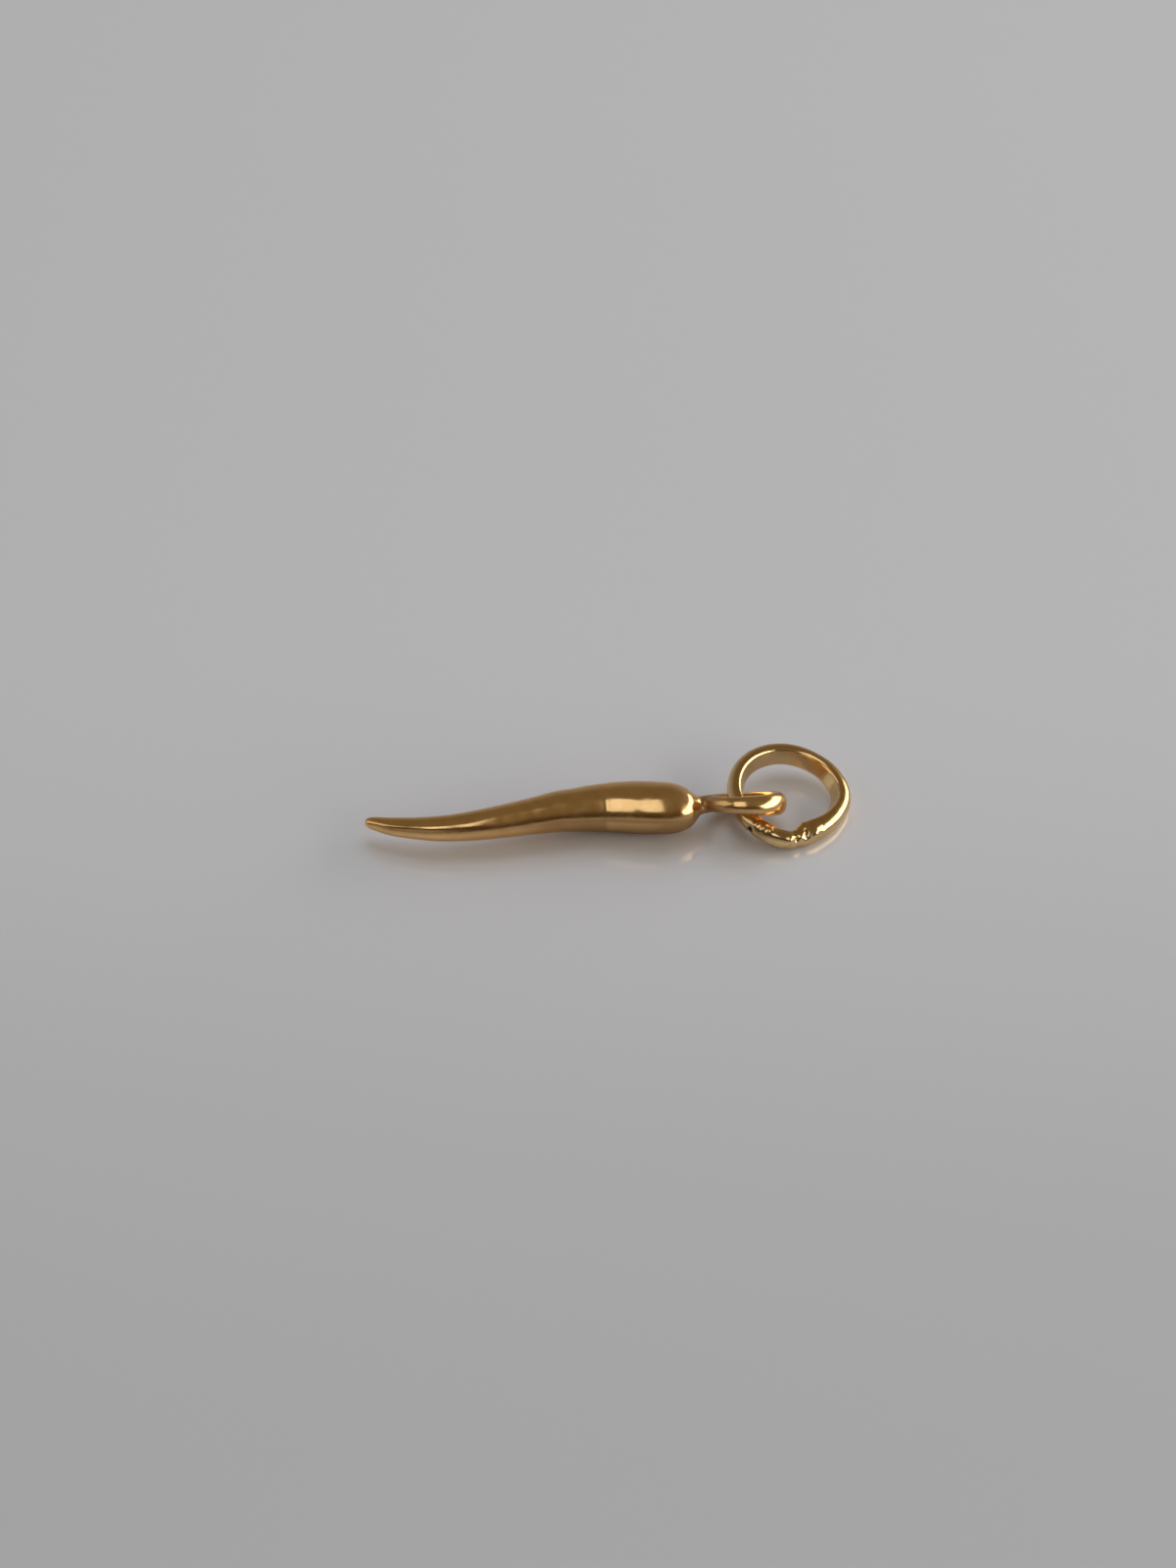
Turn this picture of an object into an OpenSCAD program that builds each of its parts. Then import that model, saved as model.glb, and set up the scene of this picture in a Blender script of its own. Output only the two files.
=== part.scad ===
// Cornicello horn pendant: a small curved horn with a loop soldered to its head,
// and a band-shaped bail linked through the loop for a chain.
// Millimetres, +Z up. It lies on the plane z = 0 with its tip towards -X and its bail towards +X.

/* [Horn] */
// Length of the horn from its tip to its neck
horn_l = 19.7; // [16:0.1:26]
// Thickness of the horn's head, its thickest place
head_d = 3.16; // [2.8:0.02:3.8]
// How far the curved part swings sideways from the head's axis
sway = 1.86; // [0.5:0.02:3]
// Thickness of the neck, where the loop is soldered to the head
neck_d = 0.94; // [0.84:0.02:1.3]

/* [Loop] */
// Inside length of the loop, along the horn
loop_inner_l = 3.16; // [3.1:0.02:3.8]
// Inside width of the loop
loop_inner_w = 2.6; // [2.4:0.02:3.2]
// Thickness of the loop's wire at the neck, in the plane of the loop
loop_wire_t = 0.76; // [0.66:0.02:0.84]
// Width of the loop's wire at the neck, across the plane of the loop
loop_wire_w = 0.94; // [0.8:0.02:1.1]
// Thickness of the loop's wire at its outer end
loop_end_t = 0.92; // [0.76:0.02:1]
// Width of the loop's wire at its outer end
loop_end_w = 1.36; // [1.1:0.02:1.5]
// How far the loop sits off the horn's axis, away from the inside of the horn's curve
loop_off = 0.12; // [0:0.02:0.16]

/* [Bail] */
// Inside diameter of the bail at its upper rim, the opening for the chain
bail_inner_d = 5.94; // [5.7:0.02:8]
// Width of the band at its widest place
bail_w = 1.22; // [0.9:0.02:1.3]
// Thickness of the band, from its inner edge to the fullest place of its rounded outer face
bail_t = 0.78; // [0.6:0.02:0.9]
// How far the inner face leans in from the upper rim to the lower one
bail_taper = 0.36; // [0:0.02:0.5]

/* [Lie] */
// Gap kept between the bail and the loop's wire under it
link_gap = 0.26; // [0.24:0.01:0.36]
// Sideways tip of the bail as it lies, in degrees
bail_roll = 8; // [4:0.5:10]
// Direction of the bail's soldered join in plan, in degrees
join_turn = -79; // [-90:1:-60]

/* [Hidden] */

horn_color = [0.80, 0.60, 0.33];
bail_color = [0.84, 0.66, 0.38];

// Rings along the horn, and points round each
HORN_RINGS = 56;
HORN_SIDES = 28;
// How far the rings crowd together at the horn's two ends, from 0 to 1
RING_CROWDING = 0.7;
// Distance along the horn, as a share, over which a ring takes its direction
TANGENT_STEP = 0.02;
// Places round the loop, and points round its wire
LOOP_STEPS = 48;
LOOP_SIDES = 16;
// Places round the bail, and steps across the band's rounded outer face
BAIL_STEPS = 96;
ROUND_STEPS = 8;

// Sections of the horn, from the tip to the neck
// AT is a share of horn_l, GIRTH of head_d, SWAY of sway and RISE of half of head_d
AT = 0;
GIRTH = 1;
SWAY = 2;
RISE = 3;
HORN_SECTIONS = [
    [0.000, 0.060, 0.50, 0.69],
    [0.004, 0.150, 0.52, 0.70],
    [0.022, 0.236, 0.58, 0.71],
    [0.080, 0.340, 0.79, 0.78],
    [0.167, 0.425, 0.97, 0.88],
    [0.225, 0.480, 1.00, 0.92],
    [0.283, 0.520, 0.95, 0.93],
    [0.370, 0.585, 0.83, 0.98],
    [0.486, 0.680, 0.54, 1.00],
    [0.572, 0.762, 0.32, 1.02],
    [0.620, 0.812, 0.22, 0.98],
    [0.660, 0.856, 0.14, 0.96],
    [0.690, 0.890, 0.09, 0.935],
    [0.710, 0.912, 0.06, 0.92],
    [0.730, 0.935, 0.06, 0.935],
    [0.760, 0.960, 0.08, 0.96],
    [0.804, 0.990, 0.12, 0.99],
    [0.880, 0.965, 0.21, 1.06],
    [0.920, 0.895, 0.20, 1.04],
    [0.949, 0.745, 0.15, 1.02],
    [0.966, 0.560, 0.09, 1.00],
    [0.982, 0.350, 0.04, 1.00],
    [1.000, 0.050, 0.00, 1.00],
];

// Form of the bail's band, round it from the join, where one end of the strip stands out past the other
// TURN is in degrees, OUT a share of half of bail_inner_d, WALL of bail_t and WIDTH of bail_w
TURN = 0;
OUT = 1;
WALL = 2;
WIDTH = 3;
BAND_SECTIONS = [
    [0, 0.97, 1.20, 0.84],
    [5, 0.93, 1.40, 0.92],
    [20, 0.915, 1.30, 1.00],
    [49, 0.96, 1.12, 0.98],
    [79, 1.04, 1.00, 0.94],
    [109, 1.01, 1.00, 0.93],
    [139, 0.955, 1.00, 0.93],
    [169, 0.93, 1.00, 0.93],
    [199, 0.92, 1.00, 0.92],
    [229, 0.93, 0.95, 0.89],
    [259, 0.955, 0.90, 0.85],
    [289, 0.99, 0.95, 0.86],
    [319, 1.04, 1.06, 0.88],
    [341, 1.085, 1.00, 0.84],
    [353, 1.075, 1.00, 0.78],
    [360, 0.97, 1.20, 0.84],
];

// Share of the band's wall that is flat along the upper rim, at each TURN from the join
FLAT = 1;
FLAT_SECTIONS = [
    [0, 0.55],
    [20, 0.35],
    [49, 0.22],
    [79, 0.18],
    [289, 0.18],
    [319, 0.30],
    [341, 0.55],
    [360, 0.55],
];

// Where the bail's wall crosses the loop, towards the neck, as a share of half the loop's length
WALL_SHARE = 0.28;
// How late the loop's wire widens towards its outer end
END_SPREAD = 2;
// Rounds of the sum that finds how far the loop leans
LEAN_ROUNDS = 6;
// Middle of the bail beyond the middle of the loop's far wire, as a share of the loop's width
BAIL_SHIFT = 0.07;
// Where the neck starts inside the head and where it is full, as shares of horn_l
NECK_FROM = 0.9;
NECK_FULL = 0.95;
// How softly the neck runs into the head, as a share of neck_d
FILLET = 0.25;
// Radius of the neck where it ends inside the loop's wire, as a share of half the wire's thickness
NECK_SINK = 0.8;
// Rounding of the band's edges, as a share of bail_t
ROUNDING = 0.1;
// Height at which the band's outer face is fullest, as a share of its width
FULLEST = 0.42;
// How square the outer face is above and below that height, where 1 is a plain round
SQUARE_ABOVE = 1;
SQUARE_BELOW = 0.7;

head_r = head_d / 2;
neck_r = neck_d / 2;

// Half the thickness and half the width of the loop's wire, from 0 at the neck to 1 at the outer end
function half_thick(u) = (loop_wire_t + (loop_end_t - loop_wire_t) * u) / 2;
function half_wide(u) = (loop_wire_w + (loop_end_w - loop_wire_w) * pow(u, END_SPREAD)) / 2;

// The middle line of the loop's wire is an oval that starts at the neck
loop_a = (loop_inner_l + half_thick(0) + half_thick(1)) / 2;
loop_b = loop_inner_w / 2 + half_thick(0.5);
loop_x = horn_l + half_thick(0) + loop_a;

// The loop leans until its far side lies on the surface
function wire_reach(lean) = norm([half_thick(0.5) * sin(lean), half_wide(0.5) * cos(lean)]);
function lean_after(lean, rounds) =
    rounds == 0 ? lean : lean_after(asin(min(1, (head_r - wire_reach(lean)) / loop_b)), rounds - 1);
loop_lean = lean_after(0, LEAN_ROUNDS);

// The bail's wall passes through the loop, over its far wire
bail_r = bail_inner_d / 2;
wall_turn = 180 - join_turn;
wall_in = bail_r * eased(BAND_SECTIONS, OUT, wall_turn) - bail_taper;
wall_out = wall_in + bail_taper + bail_t;
wall_middle = (wall_in + wall_out) / 2;
bail_x = loop_x - WALL_SHARE * loop_a + wall_middle;
bail_y = loop_off + loop_b * cos(loop_lean) + BAIL_SHIFT * loop_inner_w;

// That side of the bail is raised on the wire, and the opposite rim comes down to the surface
wire_top = head_r - loop_b * sin(loop_lean) * sqrt(1 - WALL_SHARE * WALL_SHARE) + wire_reach(loop_lean);
raise = (wire_top + link_gap) / wall_out;
bail_lean = asin((raise - sin(bail_roll) * sin(bail_roll) / raise) / 2);

// Value of one column of a table at a place in its first column, on a smooth curve through the rows
function row_slope(rows, column, i) =
    let (a = max(i - 1, 0), b = min(i + 1, len(rows) - 1))
    (rows[b][column] - rows[a][column]) / (rows[b][0] - rows[a][0]);

function eased(rows, column, place) =
    let (
        i = max([for (k = [0 : len(rows) - 2]) if (rows[k][0] <= place) k]),
        span = rows[i + 1][0] - rows[i][0],
        u = (place - rows[i][0]) / span,
        a = rows[i][column],
        b = rows[i + 1][column],
        da = span * row_slope(rows, column, i),
        db = span * row_slope(rows, column, i + 1)
    )
    a + da * u + (3 * (b - a) - 2 * da - db) * u * u + (2 * (a - b) + da + db) * u * u * u;

// The larger of two radii, with a rounded change from one to the other
function blended(a, b, soft) = (a + b + sqrt((a - b) * (a - b) + soft * soft)) / 2;

function unit(v) = v / norm(v);

// Points of a closed outline, given as [out, up] pairs, set about a centre
function outline_at(centre, out, up, outline) = [for (p = outline) centre + p[0] * out + p[1] * up];

function round_outline(r, sides) = [
    for (k = [0 : sides - 1])
        let (turn = 360 * k / sides)
        r * [cos(turn), sin(turn)]
];

// Triangles between two rings of n points, a and b counted from the first ring
function band_faces(a, b, n) = [
    for (k = [0 : n - 1], half = [0, 1])
        let (k2 = (k + 1) % n)
        half == 0 ? [a * n + k, a * n + k2, b * n + k2] : [a * n + k, b * n + k2, b * n + k]
];

// A solid swept through rings of n points each: open at its ends and capped, or closed round on itself
module sweep(rings, closed) {
    n = len(rings[0]);
    last = len(rings) - 1;
    sides = [for (i = [0 : closed ? last : last - 1]) each band_faces(i, (i + 1) % (last + 1), n)];
    caps = closed ? [] : [[for (k = [n - 1 : -1 : 0]) k], [for (k = [0 : n - 1]) last * n + k]];
    polyhedron(points = [for (ring = rings) each ring], faces = concat(sides, caps));
}

// The horn's body

// Share of the way along the horn of one of its rings, which lie closer together at both ends
function ring_place(i) =
    let (u = i / HORN_RINGS)
    RING_CROWDING * (1 - cos(180 * u)) / 2 + (1 - RING_CROWDING) * u;

function horn_axis(place) = [
    place * horn_l,
    -sway * eased(HORN_SECTIONS, SWAY, place),
    head_r * eased(HORN_SECTIONS, RISE, place),
];

function neck_radius(place) = neck_r * min(1, (place - NECK_FROM) / (NECK_FULL - NECK_FROM));

function horn_radius(place) =
    let (body = head_r * eased(HORN_SECTIONS, GIRTH, place))
    place < NECK_FROM ? body : blended(body, neck_radius(place), FILLET * neck_d);

function horn_ring(place) =
    let (
        before = horn_axis(max(place - TANGENT_STEP, 0)),
        after = horn_axis(min(place + TANGENT_STEP, 1)),
        along = unit(after - before),
        out = unit(cross(along, [0, 0, 1])),
        up = cross(out, along)
    )
    outline_at(horn_axis(place), out, up, round_outline(horn_radius(place), HORN_SIDES));

// The neck's last ring lies inside the loop's wire
function neck_end() =
    let (centre = [horn_l + half_thick(0), 0, head_r])
    outline_at(centre, [0, -1, 0], [0, 0, 1], round_outline(NECK_SINK * half_thick(0), HORN_SIDES));

function horn_rings() = concat([for (i = [0 : HORN_RINGS]) horn_ring(ring_place(i))], [neck_end()]);

// A point of the leaning loop, from its place in the loop's own plane and its height above that plane
function leaning(p) = [
    loop_x + p[0],
    loop_off + p[1] * cos(loop_lean) + p[2] * sin(loop_lean),
    head_r - p[1] * sin(loop_lean) + p[2] * cos(loop_lean),
];

// The wire is an oval in section, and grows towards the outer end
function loop_ring(turn) =
    let (
        u = (1 + cos(turn)) / 2,
        middle_line = [loop_a * cos(turn), loop_b * sin(turn), 0],
        out = unit([loop_b * cos(turn), loop_a * sin(turn), 0])
    )
    [
        for (p = round_outline(1, LOOP_SIDES))
            leaning(middle_line + half_thick(u) * p[0] * out + half_wide(u) * p[1] * [0, 0, 1])
    ];

function loop_rings() = [for (i = [0 : LOOP_STEPS - 1]) loop_ring(360 * i / LOOP_STEPS)];

// The bail's band before it is tipped: its inner face leans in downwards, and its outer face is round
function band_outline(turn) =
    let (
        w = bail_w * eased(BAND_SECTIONS, WIDTH, turn),
        inner = bail_r * eased(BAND_SECTIONS, OUT, turn),
        wall = bail_t * eased(BAND_SECTIONS, WALL, turn),
        flat_edge = inner + wall * eased(FLAT_SECTIONS, FLAT, turn),
        swell = inner + wall - flat_edge,
        soft = ROUNDING * bail_t
    )
    concat(
        [
            [inner + soft, w],
            [inner, w - soft],
            [inner - bail_taper, soft],
            [inner - bail_taper + soft, 0]
        ],
        [
            for (k = [0 : ROUND_STEPS])
                let (
                    up = 180 * k / ROUND_STEPS - 90,
                    square = up < 0 ? SQUARE_BELOW : SQUARE_ABOVE,
                    reach = up < 0 ? FULLEST : 1 - FULLEST
                )
                [
                    flat_edge + swell * pow(abs(cos(up)), square),
                    w * (FULLEST + reach * sign(up) * pow(abs(sin(up)), square))
                ]
        ]
    );

function band_ring(turn) =
    let (direction = turn + join_turn)
    [for (p = band_outline(turn)) [p[0] * cos(direction), p[0] * sin(direction), p[1]]];

function band_rings() = [for (i = [0 : BAIL_STEPS - 1]) band_ring(360 * i / BAIL_STEPS)];

// A point of the bail tipped as it lies: first its roll, then its lean
function tipped(p) =
    let (
        y = p[1] * cos(bail_roll) - p[2] * sin(bail_roll),
        z = p[1] * sin(bail_roll) + p[2] * cos(bail_roll)
    )
    [p[0] * cos(bail_lean) + z * sin(bail_lean), y, z * cos(bail_lean) - p[0] * sin(bail_lean)];

// Both pieces are set down on the surface, and the origin goes under the middle of the whole
horn_points = [for (ring = concat(horn_rings(), loop_rings())) for (p = ring) p];
bail_points = [for (ring = band_rings()) for (p = ring) tipped(p) + [bail_x, bail_y, 0]];
horn_drop = min([for (p = horn_points) p[2]]);
bail_drop = min([for (p = bail_points) p[2]]);
all_x = [for (p = concat(horn_points, bail_points)) p[0]];
all_y = [for (p = concat(horn_points, bail_points)) p[1]];
middle = [(min(all_x) + max(all_x)) / 2, (min(all_y) + max(all_y)) / 2];

module horn() {
    color(horn_color)
        translate([-middle[0], -middle[1], -horn_drop])
            union() {
                sweep(horn_rings(), false);
                sweep(loop_rings(), true);
            }
}

module bail() {
    color(bail_color)
        translate([bail_x - middle[0], bail_y - middle[1], -bail_drop])
            rotate([bail_roll, bail_lean, 0])
                sweep(band_rings(), true);
}

horn();
bail();
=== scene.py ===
"""A small gold cornicello horn pendant, lying on a pale glossy surface.

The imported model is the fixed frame. The horn with its soldered loop and the bail are modelled again here
with fine surfaces, in millimetres in the pendant's own frame, and set where the frame has them.
"""

from __future__ import annotations

import logging
import math
from dataclasses import dataclass, replace
from enum import Enum
from typing import NamedTuple

import bpy
import numpy as np
from mathutils import Matrix, Vector, noise

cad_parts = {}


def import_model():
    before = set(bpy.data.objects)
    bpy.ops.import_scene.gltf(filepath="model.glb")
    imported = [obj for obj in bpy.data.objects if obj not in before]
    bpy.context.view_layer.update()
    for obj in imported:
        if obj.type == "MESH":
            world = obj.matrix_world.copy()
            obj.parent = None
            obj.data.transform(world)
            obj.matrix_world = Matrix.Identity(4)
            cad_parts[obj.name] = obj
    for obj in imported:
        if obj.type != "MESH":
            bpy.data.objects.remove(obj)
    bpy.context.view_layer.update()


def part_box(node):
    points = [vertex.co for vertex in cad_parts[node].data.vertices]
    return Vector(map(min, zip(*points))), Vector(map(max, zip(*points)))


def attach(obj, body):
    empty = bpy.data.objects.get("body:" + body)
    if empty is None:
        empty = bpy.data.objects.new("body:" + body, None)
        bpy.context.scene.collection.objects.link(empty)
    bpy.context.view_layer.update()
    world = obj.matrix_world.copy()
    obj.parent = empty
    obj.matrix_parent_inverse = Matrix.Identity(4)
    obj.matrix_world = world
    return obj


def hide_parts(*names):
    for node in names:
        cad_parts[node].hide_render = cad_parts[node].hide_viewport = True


LOG = logging.getLogger("pendant")

MM = 0.001
PHOTO_WIDTH_PX = 1200
NOISE_SLANT = 0.7
TINY = 1e-6

Points = np.ndarray
Faces = list[tuple[int, ...]]
Triple = tuple[float, float, float]
Pair = tuple[float, float]
Waves = tuple[Pair, ...]
Color = Triple | bpy.types.NodeSocket


class Body(Enum):
    """The body of the frame that a piece rides on."""

    ROOT = "root"


class Slot(Enum):
    """The material slots of the record."""

    HORN = "horn_gold"
    BAIL = "bail_gold"


class Shade(Enum):
    """The darker colours that each point of the gold carries a share of, by the share's name: solder with
    painted shade, and painted shade in pits.
    """

    TINTED = "solder_and_shade"
    STAINED = "pit_shade"


class Reach(Enum):
    """What a light reaches: everything, all that mirrors, the gold alone, or all that is matt."""

    EVERYTHING = "everything"
    MIRRORS = "mirrors"
    GOLD = "gold"
    MATT = "matt"


class HornRow(NamedTuple):
    """One section of the horn: its place along it and its size as shares of the named sizes."""

    at: float
    girth: float
    sway: float
    rise: float


class RidgeRow(NamedTuple):
    """How high the horn's soft ridge is at a place along it, as a share of the radius there."""

    at: float
    height: float


class HornMark(NamedTuple):
    """A shallow bump or dent of the horn: its place, its turn from level in degrees, and its size in mm."""

    at: float
    turn: float
    reach: float
    height: float


class BandRow(NamedTuple):
    """One section of the bail's band: its turn from the join in degrees, and shares of the named sizes."""

    turn: float
    out: float
    wall: float
    width: float


class FlatRow(NamedTuple):
    """How much of the bail's wall is flat along its upper rim, at a turn from the join in degrees."""

    turn: float
    flat: float


class BandMark(NamedTuple):
    """A small bump or pit of the band: its turn in degrees, its place, reach and height in mm."""

    turn: float
    out: float
    up: float
    reach: float
    height: float


HORN_ROWS = (
    HornRow(0.000, 0.060, 0.50, 0.69),
    HornRow(0.004, 0.150, 0.52, 0.70),
    HornRow(0.022, 0.236, 0.58, 0.71),
    HornRow(0.080, 0.340, 0.79, 0.78),
    HornRow(0.167, 0.425, 0.97, 0.88),
    HornRow(0.225, 0.480, 1.00, 0.92),
    HornRow(0.283, 0.520, 0.95, 0.93),
    HornRow(0.370, 0.585, 0.83, 0.98),
    HornRow(0.486, 0.680, 0.54, 1.00),
    HornRow(0.572, 0.762, 0.32, 1.02),
    HornRow(0.620, 0.812, 0.22, 0.98),
    HornRow(0.660, 0.856, 0.14, 0.96),
    HornRow(0.690, 0.890, 0.09, 0.935),
    HornRow(0.710, 0.912, 0.06, 0.92),
    HornRow(0.730, 0.935, 0.06, 0.935),
    HornRow(0.760, 0.960, 0.08, 0.96),
    HornRow(0.804, 0.990, 0.12, 0.99),
    HornRow(0.880, 0.965, 0.21, 1.06),
    HornRow(0.920, 0.895, 0.20, 1.04),
    HornRow(0.949, 0.745, 0.15, 1.02),
    HornRow(0.966, 0.560, 0.09, 1.00),
    HornRow(0.982, 0.350, 0.04, 1.00),
    HornRow(1.000, 0.050, 0.00, 1.00),
)

RIDGE_ROWS = (
    RidgeRow(0.00, 0.00),
    RidgeRow(0.04, 0.06),
    RidgeRow(0.20, 0.08),
    RidgeRow(0.30, 0.05),
    RidgeRow(0.40, 0.00),
    RidgeRow(1.00, 0.00),
)

HORN_MARKS = (
    HornMark(0.735, 38, 0.40, -0.010),
    HornMark(0.812, 49, 0.34, 0.022),
    HornMark(0.790, 30, 0.30, 0.010),
    HornMark(0.862, 45, 0.34, -0.010),
    HornMark(0.560, 30, 0.45, 0.012),
    HornMark(0.480, 24, 0.40, -0.012),
    HornMark(0.640, 24, 0.40, -0.010),
    HornMark(0.930, 30, 0.30, 0.015),
)

BAND_ROWS = (
    BandRow(0, 0.97, 1.20, 0.84),
    BandRow(5, 0.93, 1.40, 0.92),
    BandRow(20, 0.915, 1.30, 1.00),
    BandRow(49, 0.96, 1.12, 0.98),
    BandRow(79, 1.04, 1.00, 0.94),
    BandRow(109, 1.01, 1.00, 0.93),
    BandRow(139, 0.955, 1.00, 0.93),
    BandRow(169, 0.93, 1.00, 0.93),
    BandRow(199, 0.92, 1.00, 0.92),
    BandRow(229, 0.93, 0.95, 0.89),
    BandRow(259, 0.955, 0.90, 0.85),
    BandRow(289, 0.99, 0.95, 0.86),
    BandRow(319, 1.04, 1.06, 0.88),
    BandRow(341, 1.085, 1.00, 0.84),
    BandRow(353, 1.075, 1.00, 0.78),
    BandRow(360, 0.97, 1.20, 0.84),
)

FLAT_ROWS = (
    FlatRow(0, 0.55),
    FlatRow(20, 0.35),
    FlatRow(49, 0.22),
    FlatRow(79, 0.18),
    FlatRow(289, 0.18),
    FlatRow(319, 0.30),
    FlatRow(341, 0.55),
    FlatRow(360, 0.55),
)

BAND_MARKS = (
    BandMark(315.5, 3.68, 0.94, 0.14, 0.06),
    BandMark(324.0, 3.62, 1.02, 0.14, 0.07),
    BandMark(330.5, 3.59, 1.06, 0.13, 0.07),
    BandMark(312.5, 3.84, 0.38, 0.15, -0.30),
    BandMark(349.5, 3.80, 0.80, 0.18, 0.10),
    BandMark(355.5, 3.74, 0.84, 0.13, -0.12),
    BandMark(0.0, 3.68, 0.90, 0.12, 0.06),
    BandMark(5.0, 3.52, 1.00, 0.15, -0.16),
    BandMark(5.5, 3.10, 1.14, 0.20, 0.14),
    BandMark(15.5, 3.57, 0.99, 0.24, 0.09),
    BandMark(24.0, 3.45, 1.05, 0.10, -0.03),
)


def eased(rows: tuple[NamedTuple, ...], column: str, place: Points) -> Points:
    """Values of one column of a table on a smooth curve through its rows.

    Args:
        rows: The table, in rising order of its first column.
        column: The name of the column to read.
        place: Where to read it, in the terms of the first column.

    Returns:
        The value at each place.
    """
    xs = np.array([row[0] for row in rows], float)
    ys = np.array([getattr(row, column) for row in rows], float)
    last = len(xs) - 1
    after = np.minimum(np.arange(last + 1) + 1, last)
    before = np.maximum(np.arange(last + 1) - 1, 0)
    slopes = (ys[after] - ys[before]) / (xs[after] - xs[before])
    place = np.asarray(place, float)
    i = np.clip(np.searchsorted(xs, place, side="right") - 1, 0, last - 1)
    span = xs[i + 1] - xs[i]
    u = (place - xs[i]) / span
    a, b = ys[i], ys[i + 1]
    da, db = span * slopes[i], span * slopes[i + 1]
    return a + da * u + (3 * (b - a) - 2 * da - db) * u**2 + (2 * (a - b) + da + db) * u**3


def blended(a: Points, b: Points, soft: float) -> Points:
    """The larger of two radii, with a rounded change from one to the other."""
    return (a + b + np.sqrt((a - b) ** 2 + soft**2)) / 2


def unit(vectors: Points) -> Points:
    """Vectors of length one in the same directions."""
    return vectors / np.linalg.norm(vectors, axis=-1, keepdims=True)


def hand_worked(points: Points, waves: Waves, seed: float) -> Points:
    """Soft unevenness that a hand-finished surface has.

    Args:
        points: Points in millimetres.
        waves: The length and the height of each wave, in millimetres.
        seed: Where in the noise the surface lies.

    Returns:
        How far each point stands out, in millimetres.
    """
    total = np.zeros(len(points))
    shift = Vector((seed, seed * NOISE_SLANT, -seed))
    for length, height in waves:
        total += height * np.array([noise.noise(Vector(p) / length + shift) for p in points])
    return total


def grid_faces(rings: int, sides: int, closed: bool) -> Faces:
    """Quads between neighbouring rings of points.

    Args:
        rings: How many rings there are.
        sides: How many points each ring has.
        closed: Whether the last ring joins the first.

    Returns:
        The faces, and a cap on each end where the rings stay open.
    """
    faces: Faces = []
    for ring in range(rings if closed else rings - 1):
        here, there = ring * sides, ((ring + 1) % rings) * sides
        for side in range(sides):
            beside = (side + 1) % sides
            faces.append((here + side, here + beside, there + beside, there + side))
    if not closed:
        faces.append(tuple(reversed(range(sides))))
        faces.append(tuple((rings - 1) * sides + side for side in range(sides)))
    return faces


def mesh_object(name: str, points: Points, faces: Faces) -> bpy.types.Object:
    """Makes a smooth-shaded object in the scene.

    Args:
        name: The piece's name.
        points: Its points in millimetres.
        faces: Its faces.

    Returns:
        The object, in metres.
    """
    mesh = bpy.data.meshes.new(name)
    mesh.from_pydata((np.asarray(points) * MM).tolist(), [], faces)
    mesh.validate()
    mesh.shade_smooth()
    thing = bpy.data.objects.new(name, mesh)
    bpy.context.scene.collection.objects.link(thing)
    return thing


def mesh_points(thing: bpy.types.Object) -> Points:
    """Reads the points of an object's mesh.

    Args:
        thing: The object.

    Returns:
        The points in metres, one row each.
    """
    values = np.empty(len(thing.data.vertices) * 3)
    thing.data.vertices.foreach_get("co", values)
    return values.reshape(-1, 3)


def mesh_normals(thing: bpy.types.Object) -> Points:
    """Reads which way each point of an object's mesh faces.

    Args:
        thing: The object.

    Returns:
        A vector of length one for each point.
    """
    values = np.empty(len(thing.data.vertices) * 3)
    thing.data.vertex_normals.foreach_get("vector", values)
    return values.reshape(-1, 3)


def set_points(thing: bpy.types.Object, points: Points) -> None:
    """Moves the points of an object's mesh to new places in metres."""
    thing.data.vertices.foreach_set("co", np.asarray(points, float).ravel())
    thing.data.update()


def paint(thing: bpy.types.Object, shade: Shade, share: Points) -> None:
    """Gives each point of a mesh its share of one of the gold's darker colours, which are painted shade
    except at the horn's solder joint.

    Args:
        thing: The object.
        shade: Which darker colour.
        share: The share at each point, from 0 to 1.
    """
    attribute = thing.data.attributes.new(shade.value, "FLOAT", "POINT")
    attribute.data.foreach_set("value", share.astype(np.float32))


def apply_modifiers(thing: bpy.types.Object) -> None:
    """Puts the result of an object's modifiers in place of its mesh.

    Args:
        thing: The object.
    """
    bpy.context.view_layer.update()
    made = bpy.data.meshes.new_from_object(thing.evaluated_get(bpy.context.evaluated_depsgraph_get()))
    thing.modifiers.clear()
    thing.data = made
    thing.data.shade_smooth()


def fuse(first: bpy.types.Object, second: bpy.types.Object) -> None:
    """Joins two solids into one and removes the second.

    Args:
        first: The solid that keeps its name.
        second: The solid that is taken in.
    """
    joint = first.modifiers.new("fuse", "BOOLEAN")
    joint.operation = "UNION"
    joint.solver = "EXACT"
    joint.object = second
    apply_modifiers(first)
    bpy.data.objects.remove(second)


def soften(thing: bpy.types.Object, share: Points, rounds: int, strength: float = 0.5) -> None:
    """Smooths a mesh where its share is high.

    Args:
        thing: The object.
        share: For each point, from 0 for as it is to 1 for fully smoothed.
        rounds: How many rounds of smoothing there are.
        strength: How far a round moves a point towards the middle of those beside it.
    """
    group = thing.vertex_groups.new(name="softened")
    for index in np.flatnonzero(share > 0):
        group.add([int(index)], float(share[index]), "REPLACE")
    smooth = thing.modifiers.new("soften", "SMOOTH")
    smooth.iterations = rounds
    smooth.factor = strength
    smooth.vertex_group = group.name
    apply_modifiers(thing)
    thing.vertex_groups.clear()


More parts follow.
